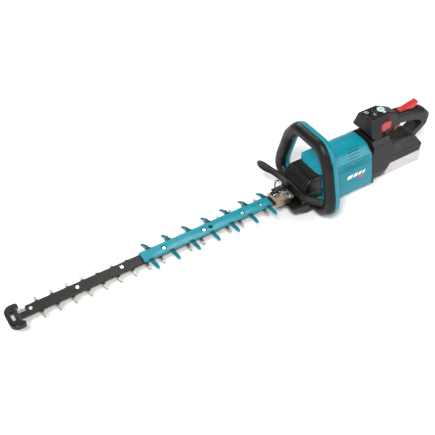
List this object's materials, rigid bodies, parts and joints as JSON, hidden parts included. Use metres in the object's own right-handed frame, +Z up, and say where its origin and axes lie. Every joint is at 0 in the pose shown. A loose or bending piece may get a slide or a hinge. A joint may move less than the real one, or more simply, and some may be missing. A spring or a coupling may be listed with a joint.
{
  "type": "hedge trimmer",
  "caption": "Cordless hedge trimmer with a double-sided reciprocating blade, comb finger guard, closed front loop handle, turning rear D-handle and slide-on battery.",
  "frame": {"origin": "middle of the footprint, on the ground that the gear case feet and the battery stand on", "axes": "+Z up, +X from the blade tip towards the rear handle, +Y to the operator's right seen from behind"},
  "size_m": [1.0991, 0.219, 0.203],
  "materials": {
    "bar_steel": "satin",
    "blade_steel": "satin",
    "zinc": "bright",
    "black_plastic": "fine texture",
    "dark_plastic": "fine texture",
    "teal_plastic": "satin gloss",
    "bracket_steel": "satin",
    "cast_black": "satin",
    "rubber_black": "soft",
    "gear_steel": "machined",
    "lamination": "matt",
    "board_case": "matt",
    "button_blue": "gloss",
    "button_grey": "gloss",
    "lens_white": "frosted",
    "trigger_red": "satin",
    "lever_red": "satin",
    "battery_grey": "satin",
    "cell_blue": "gloss"
  },
  "bodies": {
    "frame": {"guide_bar": "bar_steel", "guide_bolts": "zinc", "guide_sleeves": "zinc", "guide_washers": "zinc", "guide_nuts": "zinc", "tip_guard": "black_plastic", "finger_guard": "teal_plastic", "blade_bracket": "bracket_steel", "bracket_bolts": "zinc", "gear_case": "cast_black", "gear_cover": "cast_black", "case_shroud": "black_plastic", "case_feet": "rubber_black", "crank_bearings": "gear_steel", "stator": "lamination", "motor_bearings": "gear_steel", "motor_housing_left": "teal_plastic", "motor_housing_right": "teal_plastic", "controller": "board_case", "front_handle_grip": "rubber_black", "front_handle_shell": "teal_plastic", "hand_guard": "black_plastic", "turning_ring": "black_plastic"},
    "upper_blade": {"upper_blade": "blade_steel"},
    "lower_blade": {"lower_blade": "blade_steel"},
    "crank": {"crank_gear": "gear_steel"},
    "upper_rod": {"upper_rod": "gear_steel"},
    "lower_rod": {"lower_rod": "gear_steel"},
    "motor_rotor": {"rotor_shaft": "gear_steel", "rotor": "lamination", "cooling_fan": "black_plastic"},
    "rear_handle": {"rear_handle_left": "dark_plastic", "rear_handle_right": "dark_plastic", "handle_screws": "zinc", "control_panel": "black_plastic", "indicator_lens": "lens_white", "switch_pins": "zinc", "switch_module": "black_plastic", "terminal_block": "black_plastic"},
    "power_button": {"power_button": "button_blue"},
    "reverse_button": {"reverse_button": "button_grey"},
    "trigger": {"switch_trigger": "trigger_red"},
    "lock_off": {"lock_off_lever": "lever_red"},
    "release": {"release_lever": "lever_red"},
    "battery": {"battery_case": "battery_grey", "battery_cells": "cell_blue"},
    "battery_latch": {"battery_latch": "battery_grey"}
  },
  "joints": [
    {"name": "upper_blade_slide", "type": "slide", "parent": "frame", "child": "upper_blade", "axis": [1, 0, 0], "range_m": [-0.0085, 0.0085]},
    {"name": "lower_blade_slide", "type": "slide", "parent": "frame", "child": "lower_blade", "axis": [1, 0, 0], "range_m": [-0.0085, 0.0085]},
    {"name": "crank_spin", "type": "hinge", "parent": "frame", "child": "crank", "pos_m": [0.19, 0, 0.05], "axis": [0, 0, 1], "continuous": true},
    {"name": "upper_rod_turn", "type": "hinge", "parent": "crank", "child": "upper_rod", "pos_m": [0.1985, 0, 0.0425], "axis": [0, 0, 1], "continuous": true},
    {"name": "lower_rod_turn", "type": "hinge", "parent": "crank", "child": "lower_rod", "pos_m": [0.1815, 0, 0.034], "axis": [0, 0, 1], "continuous": true},
    {"name": "motor_spin", "type": "hinge", "parent": "frame", "child": "motor_rotor", "pos_m": [0.223, 0, 0.08], "axis": [0, 0, 1], "continuous": true},
    {"name": "rear_handle_turn", "type": "hinge", "parent": "frame", "child": "rear_handle", "pos_m": [0.345, 0, 0.066], "axis": [0.9898, 0, 0.1426], "range_deg": [-90, 90]},
    {"name": "power_press", "type": "slide", "parent": "rear_handle", "child": "power_button", "axis": [0, 0, -1], "range_m": [0, 0.001], "stiffness_N_per_m": 600, "springref_m": -0.0005},
    {"name": "reverse_press", "type": "slide", "parent": "rear_handle", "child": "reverse_button", "axis": [0, 0, -1], "range_m": [0, 0.001], "stiffness_N_per_m": 600, "springref_m": -0.0005},
    {"name": "trigger_pull", "type": "hinge", "parent": "rear_handle", "child": "trigger", "pos_m": [0.438, 0, 0.125], "axis": [0, -1, 0], "range_deg": [0, 12], "stiffness_Nm_per_rad": 0.6, "springref_deg": -8.59},
    {"name": "lock_off_press", "type": "hinge", "parent": "rear_handle", "child": "lock_off", "pos_m": [0.452, 0, 0.151], "axis": [0, 1, 0], "range_deg": [0, 6], "stiffness_Nm_per_rad": 1, "springref_deg": -8.59},
    {"name": "release_pull", "type": "slide", "parent": "rear_handle", "child": "release", "axis": [1, 0, 0], "range_m": [0, 0.006], "stiffness_N_per_m": 500, "springref_m": -0.001},
    {"name": "battery_slide", "type": "slide", "parent": "rear_handle", "child": "battery", "axis": [1, 0, 0], "range_m": [0, 0.06]},
    {"name": "battery_latch_press", "type": "slide", "parent": "battery", "child": "battery_latch", "axis": [0, 0, -1], "range_m": [0, 0.004], "stiffness_N_per_m": 500, "springref_m": -0.001}
  ],
  "couplings": [
    {"joint": "lower_blade_slide", "follows": "upper_blade_slide", "ratio": -1},
    {"joint": "upper_rod_turn", "follows": "crank_spin", "ratio": -1},
    {"joint": "lower_rod_turn", "follows": "crank_spin", "ratio": -1},
    {"joint": "motor_spin", "follows": "crank_spin", "ratio": -4}
  ]
}
